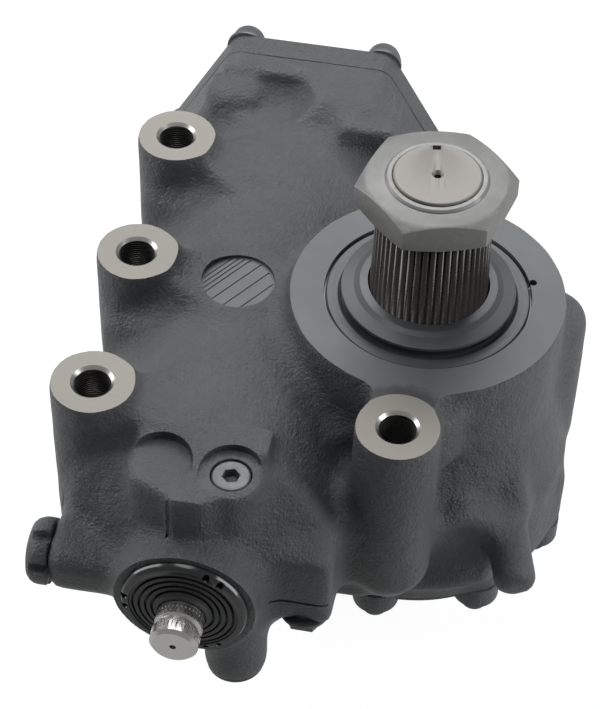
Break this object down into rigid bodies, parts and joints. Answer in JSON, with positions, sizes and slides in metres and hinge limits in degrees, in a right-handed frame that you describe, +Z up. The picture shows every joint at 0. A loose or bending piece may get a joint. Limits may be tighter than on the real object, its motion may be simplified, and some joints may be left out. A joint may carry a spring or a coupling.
{
  "type": "power steering gearbox",
  "caption": "Heavy-duty recirculating-ball steering gear with a splined vertical output shaft, a serrated input shaft and threaded mounting bosses on a cast housing.",
  "frame": {"origin": "on the sector shaft axis, in the plane of the four machined mounting faces", "axes": "+Z up the sector shaft towards its nut, -Y the way the input shaft comes out, +X away from the cylinder"},
  "size_m": [0.2685, 0.3828, 0.2809],
  "materials": {
    "casting_paint": "dark grey satin paint over sand-cast iron",
    "bolt_paint": "dark grey satin paint over rolled steel",
    "nut_phosphate": "grey phosphated steel",
    "spline_steel": "oiled dark hardened steel, bare end face",
    "bright_steel": "bright ground steel",
    "inner_steel": "ground steel",
    "ring_black": "glossy black steel",
    "seal_grey": "satin grey plastic over steel",
    "rubber_black": "dark nitrile rubber",
    "seal_rubber": "black rubber"
  },
  "bodies": {
    "casing": {"housing": "casting_paint", "cylinder_cover": "casting_paint", "cylinder_cover_bolts": "bolt_paint", "cylinder_cover_seal": "seal_rubber", "side_cover": "casting_paint", "side_cover_bolts": "bolt_paint", "side_cover_seal": "seal_rubber", "sector_seal_carrier": "seal_grey", "sector_oil_seal": "seal_rubber", "sector_retaining_ring": "inner_steel", "sector_bearing_upper": "inner_steel", "sector_bearing_lower": "inner_steel", "adjusting_screw": "bolt_paint", "adjuster_lock_nut": "bolt_paint", "worm_bearing_inner": "inner_steel", "worm_bearing_outer": "inner_steel", "input_ring_nut": "ring_black", "input_seal": "seal_rubber", "input_dust_boot": "rubber_black", "limiter_screw": "bolt_paint", "pressure_port_plug": "bolt_paint", "return_port_plug": "bolt_paint", "relief_valve_plug": "bolt_paint"},
    "sector": {"sector_shaft": "spline_steel", "pitman_nut": "nut_phosphate", "sector_dust_ring": "seal_grey", "adjuster_retainer": "inner_steel"},
    "piston": {"rack_piston": "inner_steel", "piston_ring": "seal_grey", "ball_set": "bright_steel", "ball_return_tube": "inner_steel", "return_tube_clamp": "inner_steel", "return_tube_screws": "inner_steel"},
    "worm_screw": {"worm": "inner_steel", "valve_sleeve": "inner_steel", "torsion_bar": "inner_steel", "torsion_pin_back": "inner_steel"},
    "steering_input": {"input_shaft": "bright_steel", "torsion_pin_front": "inner_steel"}
  },
  "joints": [
    {"name": "sector_swing", "type": "hinge", "parent": "casing", "child": "sector", "pos_m": [0, 0, 0], "axis": [0, 0, 1], "range_deg": [-45, 45]},
    {"name": "piston_slide", "type": "slide", "parent": "casing", "child": "piston", "axis": [0, 1, 0], "range_m": [-0.037, 0.037]},
    {"name": "worm_turn", "type": "hinge", "parent": "casing", "child": "worm_screw", "pos_m": [-0.093, 0, -0.08], "axis": [0, 1, 0], "range_deg": [-985, 985]},
    {"name": "valve_twist", "type": "hinge", "parent": "worm_screw", "child": "steering_input", "pos_m": [-0.093, -0.12, -0.08], "axis": [0, 1, 0], "range_deg": [-4, 4], "stiffness_Nm_per_rad": 2}
  ],
  "couplings": [
    {"joint": "piston_slide", "follows": "sector_swing", "m_per_rad": -0.047},
    {"joint": "worm_turn", "follows": "sector_swing", "ratio": 21.875}
  ]
}
